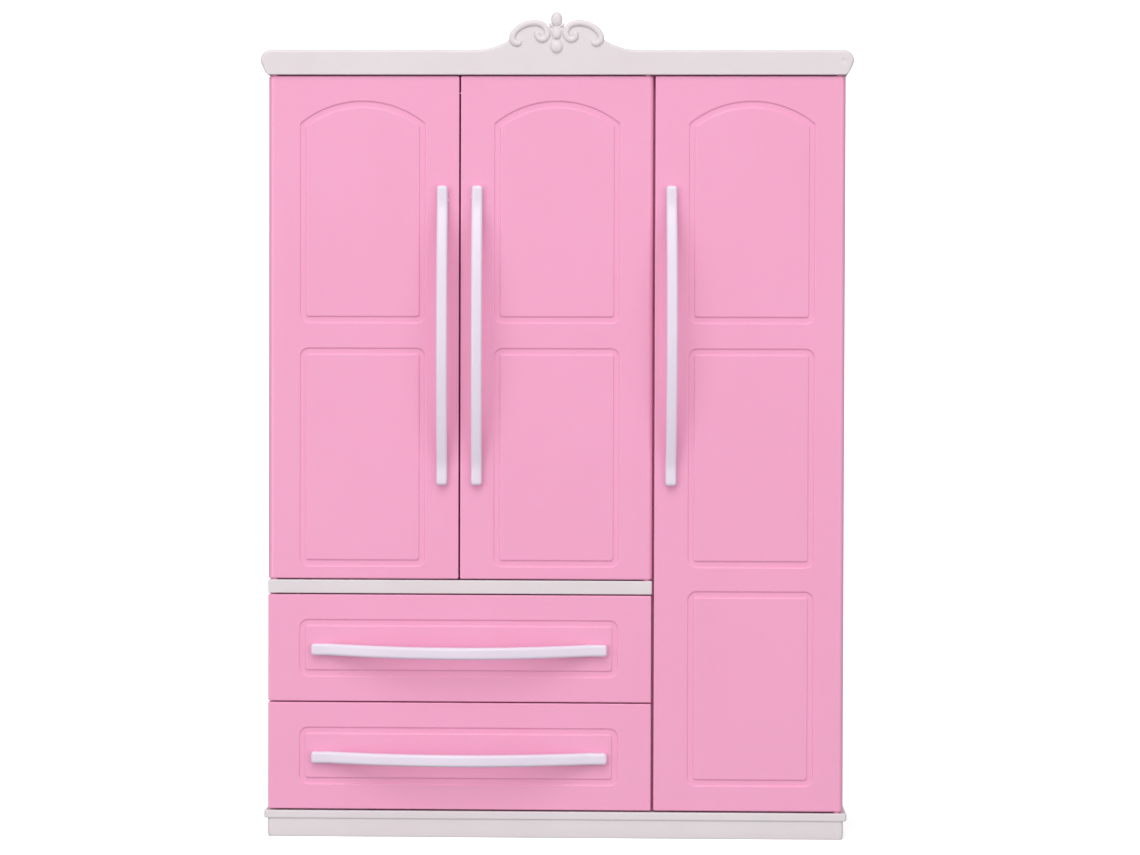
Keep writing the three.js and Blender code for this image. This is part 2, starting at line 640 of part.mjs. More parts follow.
addDoor("left", LEFT_DOOR, 1, UPPER_DOOR_BOTTOM, [MIDDLE_PANEL, UPPER_PANEL]);
addDoor("middle", MIDDLE_DOOR, -1, UPPER_DOOR_BOTTOM, [MIDDLE_PANEL, UPPER_PANEL]);
addDoor("right", RIGHT_DOOR, -1, FRONT_BOTTOM, [LOWER_PANEL, MIDDLE_PANEL, UPPER_PANEL]);

// Each drawer's group stands on the lower edge of its front.
function addDrawer(name, bottom, handleShape) {
  const drawer = new THREE.Group();
  drawer.position.set(drawerCentre, 0, bottom);
  add(drawer, `drawer_front_${name}`, drawerFront(), pinkPlastic);
  add(drawer, `drawer_tray_${name}`, drawerTray(), pinkPlastic);
  add(drawer, `drawer_handle_${name}`, handle(handleShape), whitePlastic, [0, FRONT, drawerHandleZ]);
  wardrobe.add(drawer);
}

addDrawer("upper", UPPER_DRAWER_BOTTOM, UPPER_DRAWER_HANDLE);
addDrawer("lower", FRONT_BOTTOM, LOWER_DRAWER_HANDLE);

export default wardrobe;
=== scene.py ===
import math

import bmesh
import bpy
from mathutils import Matrix, Vector


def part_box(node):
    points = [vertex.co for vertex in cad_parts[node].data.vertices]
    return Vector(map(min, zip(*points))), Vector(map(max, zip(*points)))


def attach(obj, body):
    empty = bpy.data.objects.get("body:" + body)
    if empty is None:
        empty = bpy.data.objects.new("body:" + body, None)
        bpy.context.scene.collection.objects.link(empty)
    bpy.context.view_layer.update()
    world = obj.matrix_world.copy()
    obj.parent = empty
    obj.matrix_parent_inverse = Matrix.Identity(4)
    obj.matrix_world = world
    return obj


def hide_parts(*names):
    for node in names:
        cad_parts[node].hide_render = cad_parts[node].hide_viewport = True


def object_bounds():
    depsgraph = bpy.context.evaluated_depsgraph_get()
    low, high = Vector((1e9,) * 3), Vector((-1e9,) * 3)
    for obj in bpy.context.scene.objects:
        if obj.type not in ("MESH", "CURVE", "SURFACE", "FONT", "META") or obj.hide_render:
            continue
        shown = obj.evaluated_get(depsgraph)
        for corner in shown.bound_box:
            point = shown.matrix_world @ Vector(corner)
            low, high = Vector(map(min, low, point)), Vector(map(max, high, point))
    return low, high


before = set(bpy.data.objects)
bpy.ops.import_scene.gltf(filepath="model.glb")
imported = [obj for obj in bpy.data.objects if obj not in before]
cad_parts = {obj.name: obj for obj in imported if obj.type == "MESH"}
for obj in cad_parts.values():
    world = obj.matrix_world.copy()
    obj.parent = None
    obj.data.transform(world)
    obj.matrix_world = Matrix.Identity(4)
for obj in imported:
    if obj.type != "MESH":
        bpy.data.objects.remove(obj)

cad_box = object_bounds()

# Every size is in millimetres in the frame of the CAD model, unless its comment says otherwise.
MM = 0.001

# Sizes that the frame's boxes don't give
LAP = 1.0  # how far a feature runs into the body that it is moulded on

PIN_LENGTH = 3.0  # hinge pins stand out this far above and below a door
PIN_RADIUS = 1.2
BARREL = 2.25  # half-round hinge edge
FREE_EDGE = 0.45  # rounding of the other edges of doors and drawer fronts
DOOR_FILLET = 0.6
DRAWER_LEFT_EDGE = 0.9
SKIN = 1.9  # thickness of a face over its hollow back
RIM = 1.8
RIB = 1.5
POCKET_CORNER = 1.2
POCKET_LAP = 1.2  # how far a door's hollow reaches into its hinge edge
MARK_RADIUS = 2.6  # round marks that the mould's ejector pins leave in the hollows
MARK_EDGE = 0.15
MARK_PLACES = (0.2, 0.8)  # up each hollow, as shares of its height

CHANNEL_WIDTH = 3.2  # between the flat faces, with both rounded lips
CHANNEL_LIP = 0.65  # radius of its convex edges
CHANNEL_ROOT = 0.25  # radius at the foot of its walls
CHANNEL_SLOPE = 65  # of its walls, in degrees
CHANNEL_CORNER = 3.7
ARCH_RISE = 8.7
ARCH_SHOULDER = 1.6
PANEL_WIDTH = 48.0
PANEL_FREE_MARGIN = 12.2
UPPER_PANEL = (193.2, 268.4)  # heights of its lower and upper edges
MIDDLE_PANEL = (101.7, 184.5)
LOWER_PANEL = (19.6, 93.5)
DRAWER_PANEL = (120.8, 22.2)  # width and height
DRAWER_PANEL_MARGIN = 11.4

TRAY_WALL = 1.8
TRAY_CORNER = 1.2
TRAY_INNER_CORNER = 2.5
PLUG_DEPTH = 1.4  # raised plate on a tray's front wall
PLUG_MARGINS = (6, 1.95, 3)  # at its sides, below it and above it

HANDLE_THICKNESS = 2.8
HANDLE_BOW = 7.5
HANDLE_ARC = 48.9  # from the middle to where the bow begins
HANDLE_CLEARANCE = 0.2
HANDLE_EDGES = (0.5, 0.5, 1.15, 1.15)  # radii at the two back and the two front edges
HANDLE_ENDING = 1.25  # rounding of its two ends
DOOR_HANDLE_LEAN = 0.3  # how far the middle of a door handle leans to the right
DRAWER_HANDLE_DROOP = {"upper": 0.7, "lower": 0.2}
PEG_RADIUS = 1.4
PEG_OFFSET = 52.5
PEG_ROOT = 1.2  # length inside the bar
PEG_TIP = 3.05
PEG_EDGE = 0.35
NUB = (0.4, 0.45, 0.5)  # half sizes of what is left of a handle's gate
NUB_DEPTH = 1.2  # its middle, in front of the bar's back face

CREST_HEIGHT = 14.1  # of its finial above the cornice
CREST_THICKNESS = 3.0
CREST_BACK_EDGE = 0.4
CORNICE_ROUND = 4.0  # radius of its upper corners
CORNICE_SWELL = 2.95  # how far it stands out at the sides
CORNICE_PROUD = 1.2  # of the doors' faces
CORNICE_BACK_EDGE = 0.5
DIMPLE_RADIUS = 1.3
RIBBON_HALF = (1.27, 1.15)  # half width of a scroll at its start and its end

BAND_OUT = 1.4  # how far the plinth's band stands out at the sides
BAND_PROUD = 0.5  # and how far at the front
BAND_BOTTOM = 7.0
BAND_CORNER = 0.6
PLINTH_WALL = 2.0
PLINTH_FLOOR = 2.2  # thickness over its open underside
PLINTH_RIBS = ((-36.8, -35.2), (35.2, 36.8))
DOOR_GAP = 0.6  # between the plinth and the doors
RUNNERS = (-95.0, 25.0)  # low rails under the lower tray
RUNNER_HALF = 1
RUNNER_REACH = (-24, 38)
RUNNER_GAP = 0.3

WALL_FOOT = 10.1  # height of the walls' lower edges
WALL_TAB = 3.2  # clip tabs on top of the outer walls, hidden in the cornice and not drawn
LEDGE = 1.3  # how far the ledges stand out from the walls
LEDGE_ROOT = 0.8
LEDGE_REACH = (-20, 38)
LEDGE_DROP = (1.7, 0.2)  # from a shelf's underside to a ledge's lower and upper faces
DECK_BAR = 4.6  # depth of the middle deck's front edge
DECK_BOARD_START = 4
DECK_BOARD = 2.7  # thickness behind that edge
DECK_GAP = 0.3
SOCKET_BORE = 2.2  # radius of the hole that takes the clothes rail


def span(node):
    """The limits of a CAD node along X, Y and Z, in millimetres."""
    low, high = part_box(node)
    return [(low[i] / MM, high[i] / MM) for i in range(3)]


# ---------------------------------------------------------------- outlines


def arc(cx, cy, radius, start, end, steps):
    """Points of an arc from start to end, in degrees, with both ends."""
    angles = [math.radians(start + (end - start) * i / steps) for i in range(steps + 1)]
    return [(cx + radius * math.cos(a), cy + radius * math.sin(a)) for a in angles]


def rectangle(x, y, radii, inset=0.0, steps=6):
    """A rectangle with round corners, anticlockwise from the low-x low-y corner."""
    (x0, x1), (y0, y1) = x, y
    x0, x1, y0, y1 = x0 + inset, x1 - inset, y0 + inset, y1 - inset
    r = [max(radius - inset, 0.03) for radius in radii]
    return (
        arc(x0 + r[0], y0 + r[0], r[0], 180, 270, steps)
        + arc(x1 - r[1], y0 + r[1], r[1], 270, 360, steps)
        + arc(x1 - r[2], y1 - r[2], r[2], 0, 90, steps)
        + arc(x0 + r[3], y1 - r[3], r[3], 90, 180, steps)
    )


def panel(x, z, corner, inset=0.0):
    """A plain panel's outline."""
    return rectangle(x, z, [corner] * 4, inset)


def arched_panel(x, z, corner, inset=0.0):
    """A panel's outline under an arch that springs from rounded shoulders."""
    half = (x[1] - x[0]) / 2
    middle = (x[0] + x[1]) / 2
    radius = (half * half + ARCH_RISE * ARCH_RISE) / (2 * ARCH_RISE)
    centre = z[1] + ARCH_RISE - radius
    half, radius = half - inset, radius - inset
    low = max(corner - inset, 0.2)
    soft = max(ARCH_SHOULDER - inset, 0.15)
    drop = math.sqrt((radius - soft) ** 2 - (half - soft) ** 2)
    turn = math.degrees(math.atan2(drop, half - soft))
    bottom = z[0] + inset
    points = (
        arc(-half + low, bottom + low, low, 180, 270, 6)
        + arc(half - low, bottom + low, low, 270, 360, 6)
        + arc(half - soft, centre + drop, soft, 0, turn, 4)
        + arc(0, centre, radius, turn, 180 - turn, 28)[1:-1]
        + arc(-half + soft, centre + drop, soft, 180 - turn, 180, 4)
    )
    return [(middle + px, pz) for px, pz in points]


def circle(cx, cy, radius, inset=0.0, steps=20):
    return arc(cx, cy, radius - inset, 0, 360, steps)[:-1]


def quarter_turn(steps):
    """Angles from 0 to 90 degrees, in radians."""
    return [math.radians(90 * i / steps) for i in range(steps + 1)]


def fillet(radius, steps=3):
    """(inset, depth) pairs of a convex edge, from a flat face round into a wall."""
    return [(radius * math.sin(a), radius * (1 - math.cos(a))) for a in quarter_turn(steps)]


def soft_end(radius, steps=3):
    """(inset, depth) pairs of the same edge seen from its end face, out to the full width."""
    return [(radius * (1 - math.sin(a)), radius * (1 - math.cos(a))) for a in quarter_turn(steps)]


def hollow(depth, lip=0.35, root=0.5, steps=3):
    """(inset, depth) pairs of a pocket: rounded lip, straight wall and rounded root."""
    floor = [
        (lip + root * (1 - math.cos(a)), depth - root + root * math.sin(a)) for a in quarter_turn(steps)
    ]
    return fillet(lip, steps) + floor


def channel_profile():
    """(inset, depth) pairs across a channel: down one wall, along its floor and up the other."""
    turns = [math.radians(CHANNEL_SLOPE * i / 6) for i in range(7)]
    down = [(CHANNEL_LIP * math.sin(a), CHANNEL_LIP * (1 - math.cos(a))) for a in turns]
    radii = CHANNEL_LIP + CHANNEL_ROOT
    width = radii * math.sin(turns[-1])
    depth = radii * (1 - math.cos(turns[-1]))
    down += [
        (width - CHANNEL_ROOT * math.sin(a), depth - CHANNEL_ROOT * (1 - math.cos(a)))
        for a in turns[-2::-2]
    ]
    up = [(CHANNEL_WIDTH - inset, depth) for inset, depth in reversed(down)]
    return down + up


# ---------------------------------------------------------------- mesh building


class Shape:
    """A mesh under construction, in millimetres."""

    def __init__(self):
        self.bm = bmesh.new()

    def loop(self, points):
        return [self.bm.verts.new(Vector(point) * MM) for point in points]

    def band(self, first, second, skip=()):
        """Quads between two closed loops of as many points."""
        count = len(first)
        for i in range(count):
            j = (i + 1) % count
            if i not in skip:
                self.bm.faces.new((first[i], first[j], second[j], second[i]))

    def loft(self, loops):
        for first, second in zip(loops, loops[1:]):
            self.band(first, second)

    def face(self, loop):
        self.bm.faces.new(loop)

    def cap(self, outer, holes=()):
        """A flat face inside one loop and outside the others."""
        edges = []
        for loop in [outer, *holes]:
            for a, b in zip(loop, loop[1:] + loop[:1]):
                edge = self.bm.edges.get((a, b)) or self.bm.edges.new((a, b))
                edges.append(edge)
        normal = (outer[1].co - outer[0].co).cross(outer[2].co - outer[1].co)
        bmesh.ops.triangle_fill(self.bm, use_beauty=True, edges=edges, normal=normal)

    def sink(self, outline, place, pairs, holes=()):
        """Sinks a pocket or channel into a face, closes its floor round holes and returns its rim."""
        loops = []
        for inset, depth in pairs:
            loops.append(self.loop([place(u, v, depth) for u, v in outline(inset)]))
        self.loft(loops)
        self.cap(loops[-1], holes)
        return loops[0]

    def slab(self, x, y, z, radii, soft, front=None, back=None, top=None, bottom=None, steps=6):
        """A rounded block. front, back, top and bottom make the rims of what is sunk into them."""
        levels = [(inset, z[0] + rise) for inset, rise in soft_end(soft)]
        waist = len(levels) - 1  # the band between the two rounded ends
        levels += [(inset, z[0] + z[1] - height) for inset, height in reversed(levels)]
        loops = [
            self.loop([(px, py, height) for px, py in rectangle(x, y, radii, inset, steps)])
            for inset, height in levels
        ]
        low, high = loops[waist], loops[waist + 1]
        front_edge = steps
        back_edge = 3 * steps + 2
        for i, (first, second) in enumerate(zip(loops, loops[1:])):
            skip = set()
            if i == waist and front:
                skip.add(front_edge)
            if i == waist and back:
                skip.add(back_edge)
            self.band(first, second, skip)
        for rims, edge in ((front, front_edge), (back, back_edge)):
            if rims:
                corners = [low[edge], low[edge + 1], high[edge + 1], high[edge]]
                self.cap(corners, rims(self))
        for rims, loop in ((bottom, loops[0]), (top, loops[-1])):
            if rims:
                self.cap(loop, rims(self))
            else:
                self.face(loop)

    def turned(self, profile, origin, axis, sides=24):
        """A closed turned shape. profile lists (radius, height) from one end to the other."""
        along = Vector(axis).normalized()
        side = along.orthogonal().normalized()
        other = along.cross(side)
        loops = []
        for radius, height in profile:
            ring = []
            for i in range(sides):
                a = 2 * math.pi * i / sides
                offset = side * (radius * math.cos(a)) + other * (radius * math.sin(a))
                ring.append(Vector(origin) + along * height + offset)
            loops.append(self.loop(ring))
        self.loft(loops)
        self.face(loops[0])
        self.face(loops[-1])

    def rod(self, radius, start, end, soft=0.3, sides=24):
        """A round bar with softened ends."""
        start, end = Vector(start), Vector(end)
        length = (end - start).length
        foot = [(radius - inset, rise) for inset, rise in soft_end(soft)]
        head = [(r, length - h) for r, h in reversed(foot)]
        self.turned(foot + head, start, end - start, sides)

    def egg(self, centre, radii, tilt=0.0, rings=12, sides=20, power=1.0):
        """An ellipsoid. tilt leans it to +X, in degrees, and power under 1 blunts its low end."""
        lean = Matrix.Rotation(math.radians(tilt), 3, "Y")
        loops = []
        for i in range(1, rings):
            a = math.pi * i / rings
            z = -math.cos(a)
            width = math.sin(a) ** (power if z < 0 else 1.0)
            ring = []
            for j in range(sides):
                b = 2 * math.pi * j / sides
                px = radii[0] * width * math.cos(b)
                py = radii[1] * width * math.sin(b)
                ring.append(Vector(centre) + lean @ Vector((px, py, radii[2] * z)))
            loops.append(self.loop(ring))
        self.loft(loops)
        poles = [Vector(centre) + lean @ Vector((0, 0, end * radii[2])) for end in (-1, 1)]
        for pole, loop in zip(poles, (loops[0], loops[-1])):
            tip = self.bm.verts.new(pole * MM)
            for i in range(sides):
                self.bm.faces.new((loop[i], loop[(i + 1) % sides], tip))

    def piece(self, name, material, body, slot, *nodes):
        """Turns the shape into an object that stands for CAD nodes and rides on their body."""
        bmesh.ops.recalc_face_normals(self.bm, faces=self.bm.faces)
        mesh = bpy.data.meshes.new(name)
        self.bm.to_mesh(mesh)
        self.bm.free()
        mesh.polygons.foreach_set("use_smooth", [True] * len(mesh.polygons))
        mesh.materials.append(material)
        thing = bpy.data.objects.new(name, mesh)
        bpy.context.scene.collection.objects.link(thing)
        weighted = thing.modifiers.new("weighted_normals", "WEIGHTED_NORMAL")
        weighted.weight = 80
        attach(thing, body)
        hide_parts(*nodes)
        return thing


def on_front(face):
    return lambda u, v, depth: (u, face + depth, v)


def on_back(face):
    return lambda u, v, depth: (u, face - depth, v)


def on_top(face):
    return lambda u, v, depth: (u, v, face - depth)


def on_bottom(face):
    return lambda u, v, depth: (u, v, face + depth)


# ---------------------------------------------------------------- materials


class Nodes:
    """Short calls for wiring the nodes of a material or a world."""

    def __init__(self, owner):
        owner.use_nodes = True
        self.tree = owner.node_tree
        self.tree.nodes.clear()

    def join(self, socket, value):
        """Links another node's output to a socket, or sets the socket to a plain value."""
        if isinstance(value, bpy.types.NodeSocket):
            self.tree.links.new(value, socket)
        else:
            socket.default_value = value

    def add(self, kind, settings=None, **inputs):
        node = self.tree.nodes.new(kind)
        for key, value in (settings or {}).items():
            setattr(node, key, value)
        for key, value in inputs.items():
            self.join(node.inputs[key.replace("_", " ")], value)
        return node

    def mix(self, factor, first, second):
        node = self.add("ShaderNodeMix", {"data_type": "RGBA", "blend_type": "MIX"})
        for index, value in ((0, factor), (6, first), (7, second)):
            self.join(node.inputs[index], value)
        return node.outputs[2]

    def combine(self, operation, *values):
        node = self.add("ShaderNodeMath", {"operation": operation})
        for socket, value in zip(node.inputs, values):
            self.join(socket, value)
        return node.outputs[0]

    def spread(self, value, low, high, to_low, to_high):
        """Maps one range of values to another, smoothly at its ends."""
        node = self.add("ShaderNodeMapRange", {"interpolation_type": "SMOOTHSTEP"}, Value=value)
        limits = {"From Min": low, "From Max": high, "To Min": to_low, "To Max": to_high}
        for key, limit in limits.items():
            node.inputs[key].default_value = limit
        return node.outputs["Result"]


def linear(red, green, blue):
    """A colour given as 0 to 255 screen values, as the shader wants it."""
    channels = [value / 255 for value in (red, green, blue)]
    return [c / 12.92 if c <= 0.04045 else ((c + 0.055) / 1.055) ** 2.4 for c in channels] + [1.0]


def moulded_plastic(name, colour, shade, tint, gloss, scatter, reach):
    """Injection-moulded plastic: soft flow marks, a fine mould grain, specks and hairline scuffs.

    The textures' scales are per metre, and the distances are in metres.
    """
    material = bpy.data.materials.new(name)
    n = Nodes(material)
    place = n.add("ShaderNodeTexCoord").outputs["Object"]

    # Pigment that isn't quite even: broad clouds and long streaks along the flow.
    cloud = n.add("ShaderNodeTexNoise", Vector=place, Scale=22.0, Detail=3.0, Roughness=0.55)
    flow_place = n.add("ShaderNodeMapping", Vector=place, Scale=(60.0, 60.0, 9.0))
    streak = n.add(
        "ShaderNodeTexNoise", Vector=flow_place.outputs[0], Scale=1.0, Detail=4.0, Distortion=0.3
    )
    clouds = n.spread(cloud.outputs["Fac"], 0.3, 0.7, 0.0, 1.0)
    streaks = n.spread(streak.outputs["Fac"], 0.3, 0.8, 0.0, 0.25)
    base = n.mix(clouds, shade, colour)
    base = n.mix(streaks, base, tint)

    # Sparse dust specks: a dark dot in the few cells whose random colour is above the rarity.
    rarity, strength, darkness = 0.965, 0.45, 0.35
    dust = n.add("ShaderNodeTexVoronoi", {"feature": "F1"}, Vector=place, Scale=95.0, Randomness=1.0)
    dots = n.spread(dust.outputs["Distance"], 0.028, 0.05, 1.0, 0.0)
    pick = n.add("ShaderNodeSeparateColor", Color=dust.outputs["Color"])
    chosen = n.combine("GREATER_THAN", pick.outputs[0], rarity)
    speck = n.combine("MULTIPLY", dots, chosen)
    faint = n.combine("MULTIPLY", speck, strength)
    dark = [channel * darkness for channel in colour[:3]] + [1.0]
    base = n.mix(faint, base, dark)

    # Hairline scuffs: a stretched noise cut to thin lines, in two directions, in handled patches.
    lines = []
    for turn in (0.5, -0.9):
        spot = n.add(
            "ShaderNodeMapping", Vector=place, Rotation=(0.0, turn, 0.0), Scale=(900.0, 900.0, 26.0)
        )
        hair = n.add("ShaderNodeTexNoise", Vector=spot.outputs[0], Scale=1.0, Detail=2.0)
        lines.append(n.spread(hair.outputs["Fac"], 0.74, 0.8, 0.0, 1.0))
    hairs = n.combine("MAXIMUM", *lines)
    handled = n.add("ShaderNodeTexNoise", Vector=place, Scale=34.0, Detail=1.0)
    worn = n.spread(handled.outputs["Fac"], 0.5, 0.68, 0.0, 1.0)
    scuffs = n.combine("MULTIPLY", hairs, worn)

    # Gloss varies with handling, and the scuffs are dull.
    scuff_dullness = 0.2
    sheen = n.spread(handled.outputs["Fac"], 0.2, 0.8, gloss - 0.02, gloss + 0.03)
    rough = n.combine("MULTIPLY_ADD", scuffs, scuff_dullness, sheen)

    # Relief: slow sink waves, the mould's fine grain, and the scuffs.
    waves = n.add("ShaderNodeTexNoise", Vector=place, Scale=48.0, Detail=1.0)
    grain = n.add("ShaderNodeTexNoise", Vector=place, Scale=2600.0, Detail=2.0)
    sink = n.add("ShaderNodeBump", Height=waves.outputs["Fac"], Strength=0.25, Distance=0.00012)
    skin = n.add(
        "ShaderNodeBump",
        Height=grain.outputs["Fac"],
        Strength=0.1,
        Distance=0.00002,
        Normal=sink.outputs[0],
    )
    scratch = n.add(
        "ShaderNodeBump",
        {"invert": True},
        Height=scuffs,
        Strength=0.25,
        Distance=0.00003,
        Normal=skin.outputs[0],
    )

    shader = n.add(
        "ShaderNodeBsdfPrincipled", Base_Color=base, Roughness=rough, Normal=scratch.outputs[0]
    )
    shader.inputs["IOR"].default_value = 1.49
    shader.inputs["Subsurface Weight"].default_value = scatter
    shader.inputs["Subsurface Radius"].default_value = reach
    shader.inputs["Subsurface Scale"].default_value = 0.001
    n.add("ShaderNodeOutputMaterial", Surface=shader.outputs[0])
    return material


PINK = moulded_plastic(
    "pink_plastic",
    colour=linear(246, 169, 204),
    shade=linear(245, 167, 202),
    tint=linear(247, 172, 206),
    gloss=0.31,
    scatter=0.1,
    reach=(1.0, 0.4, 0.5),
)
IVORY = moulded_plastic(
    "ivory_plastic",
    colour=linear(230, 222, 225),
    shade=linear(227, 218, 222),
    tint=linear(234, 227, 228),
    gloss=0.4,
    scatter=0.3,
    reach=(1.0, 0.8, 0.8),
)
WHITE = moulded_plastic(
    "white_plastic",
    colour=linear(236, 226, 240),
    shade=linear(233, 222, 237),
    tint=linear(240, 232, 244),
    gloss=0.33,
    scatter=0.3,
    reach=(1.0, 0.8, 0.8),
)


# ---------------------------------------------------------------- doors and drawer fronts


def make_door(name, hinge_on_left, panels):
    x, y, z = span(f"door_{name}")
    z = (z[0] + PIN_LENGTH, z[1] - PIN_LENGTH)
    if hinge_on_left:
        radii = [BARREL, FREE_EDGE, FREE_EDGE, BARREL]
        pin_x = x[0] + BARREL
        panel_x = (x[1] - PANEL_FREE_MARGIN - PANEL_WIDTH, x[1] - PANEL_FREE_MARGIN)
        pocket_x = (pin_x + BARREL - POCKET_LAP, x[1] - RIM)
    else:
        radii = [FREE_EDGE, BARREL, BARREL, FREE_EDGE]
        pin_x = x[1] - BARREL
        panel_x = (x[0] + PANEL_FREE_MARGIN, x[0] + PANEL_FREE_MARGIN + PANEL_WIDTH)
        pocket_x = (x[0] + RIM, pin_x - BARREL + POCKET_LAP)

    def channels(shape):
        rims = []
        for levels in panels:
            outline = arched_panel if levels == UPPER_PANEL else panel
            draw = lambda inset: outline(panel_x, levels, CHANNEL_CORNER, inset)
            rims.append(shape.sink(draw, on_front(y[0]), channel_profile()))
        return rims

    def cells(shape):
        splits = [(low[1] + high[0]) / 2 for low, high in zip(panels, panels[1:])]
        floors = [z[0] + RIM] + [split + RIB / 2 for split in splits]
        ceilings = [split - RIB / 2 for split in splits] + [z[1] - RIM]
        depth = y[1] - y[0] - SKIN
        sunk = [(inset, depth + extra) for inset, extra in fillet(MARK_EDGE, 2)]
        middle = (pocket_x[0] + pocket_x[1]) / 2
        rims = []
        for cell in zip(floors, ceilings):
            marks = []
            for share in MARK_PLACES:
                height = cell[0] + share * (cell[1] - cell[0])
                ring = lambda inset: circle(middle, height, MARK_RADIUS, inset)
                marks.append(shape.sink(ring, on_back(y[1]), sunk))
            draw = lambda inset: panel(pocket_x, cell, POCKET_CORNER, inset)
            rims.append(shape.sink(draw, on_back(y[1]), hollow(depth), marks))
        return rims

    shape = Shape()
    shape.slab(x, y, z, radii, DOOR_FILLET, front=channels, back=cells)
    pin_y = (y[0] + y[1]) / 2
    for low, high in ((z[0] - PIN_LENGTH, z[0] + LAP), (z[1] - LAP, z[1] + PIN_LENGTH)):
        shape.rod(PIN_RADIUS, (pin_x, pin_y, low), (pin_x, pin_y, high))
    shape.piece(f"door_{name}_shell", PINK, f"{name}_door", "pink_plastic", f"door_{name}")


def make_drawer_front(name):
    x, y, z = span(f"drawer_front_{name}")
    middle = (z[0] + z[1]) / 2
    width, height = DRAWER_PANEL
    panel_x = (x[0] + DRAWER_PANEL_MARGIN, x[0] + DRAWER_PANEL_MARGIN + width)
    panel_z = (middle - height / 2, middle + height / 2)

    def groove(shape):
        draw = lambda inset: panel(panel_x, panel_z, CHANNEL_CORNER, inset)
        return [shape.sink(draw, on_front(y[0]), channel_profile())]

    def pocket(shape):
        limits = ((x[0] + RIM, x[1] - RIM), (z[0] + RIM, z[1] - RIM))
        draw = lambda inset: panel(*limits, POCKET_CORNER, inset)
        return [shape.sink(draw, on_back(y[1]), hollow(y[1] - y[0] - SKIN))]

    shape = Shape()
    radii = [DRAWER_LEFT_EDGE, FREE_EDGE, FREE_EDGE, DRAWER_LEFT_EDGE]
    shape.slab(x, y, z, radii, FREE_EDGE, front=groove, back=pocket)
    shape.piece(
        f"drawer_front_{name}_shell", PINK, f"{name}_drawer", "pink_plastic", f"drawer_front_{name}"
    )


def make_tray(name):
    x, y, z = span(f"drawer_tray_{name}")
    y_box = (y[0] + PLUG_DEPTH, y[1])

    def inside(shape):
        hole = ((x[0] + TRAY_WALL, x[1] - TRAY_WALL), (y_box[0] + TRAY_WALL, y_box[1] - TRAY_WALL))
        draw = lambda inset: rectangle(*hole, [TRAY_INNER_CORNER] * 4, inset)
        pairs = hollow(z[1] - z[0] - TRAY_WALL, lip=0.4, root=1.6, steps=4)
        return [shape.sink(draw, on_top(z[1]), pairs)]

    shape = Shape()
    shape.slab(x, y_box, z, [TRAY_CORNER] * 4, 0.5, top=inside)
    beside, below, above = PLUG_MARGINS
    plug_x = (x[0] + beside, x[1] - beside)
    shape.slab(plug_x, (y[0], y_box[0] + LAP), (z[0] + below, z[1] - above), [0.3] * 4, 0.3)
    shape.piece(
        f"drawer_tray_{name}_shell", PINK, f"{name}_drawer", "pink_plastic", f"drawer_tray_{name}"
    )


# ---------------------------------------------------------------- handles


def make_handle(node, body, upright, droop=0.0, nubs=()):
    """A bowed bar whose middle leans by droop. nubs lists (distance along, side) of its cut gates."""
    x, y, z = span(node)
    along, across = (z, x) if upright else (x, z)
    middle = (along[0] + along[1]) / 2
    half = (along[1] - along[0]) / 2
    breadth = across[1] - across[0] - droop
    centre = across[0] + breadth / 2 if upright else across[1] - breadth / 2
    face = y[1] - PEG_TIP

    def rise(s):
        return max(0.0, 1 - (s / HANDLE_ARC) ** 2)

    def place(s, w, d):
        """The point at s along the bar, w across it and d out from the door's face."""
        lift = HANDLE_BOW * rise(s)
        if upright:
            return (centre + w + droop * rise(s), face - d - lift, middle + s)
        return (middle + s, face - d - lift, centre + w - droop * rise(s))

    ends = [(inset, half - depth) for inset, depth in soft_end(HANDLE_ENDING, 5)]
    straight = half - HANDLE_ENDING
    steps = 56
    stations = [(inset, -s) for inset, s in ends]
    stations += [(0.0, -straight + 2 * straight * i / steps) for i in range(1, steps)]
    stations += [(inset, s) for inset, s in reversed(ends)]
    width = (-breadth / 2, breadth / 2)
    thickness = (HANDLE_CLEARANCE, HANDLE_CLEARANCE + HANDLE_THICKNESS)
    shape = Shape()
    loops = []
    for inset, s in stations:
        ring = rectangle(width, thickness, HANDLE_EDGES, inset, 5)
        loops.append(shape.loop([place(s, w, d) for w, d in ring]))
    shape.loft(loops)
    shape.face(loops[0])
    shape.face(loops[-1])
    for s in (-PEG_OFFSET, PEG_OFFSET):
        shape.rod(PEG_RADIUS, place(s, 0, PEG_ROOT), place(s, 0, -PEG_TIP), PEG_EDGE)
    for s, side in nubs:
        spot = place(s, side * breadth / 2, HANDLE_CLEARANCE + NUB_DEPTH)
        shape.egg(spot, NUB, rings=8, sides=10)
    shape.piece(f"{node}_bar", WHITE, body, "white_plastic", node)


# ---------------------------------------------------------------- cornice

# The middle line of the right scroll, from its outer hook to its inner one.
SCROLL = [
    (13.3, 299.2),
    (14.2, 298.2),
    (15.6, 298.3),
    (16.5, 299.7),
    (16.1, 301.7),
    (14.3, 303.7),
    (11.4, 305.2),
    (8.1, 305.7),
    (5.5, 305.1),
    (4.0, 303.6),
    (3.5, 301.8),
    (4.1, 300.1),
    (5.4, 299.4),
    (6.7, 300.0),
    (7.2, 301.3),
    (7.0, 302.4),
]


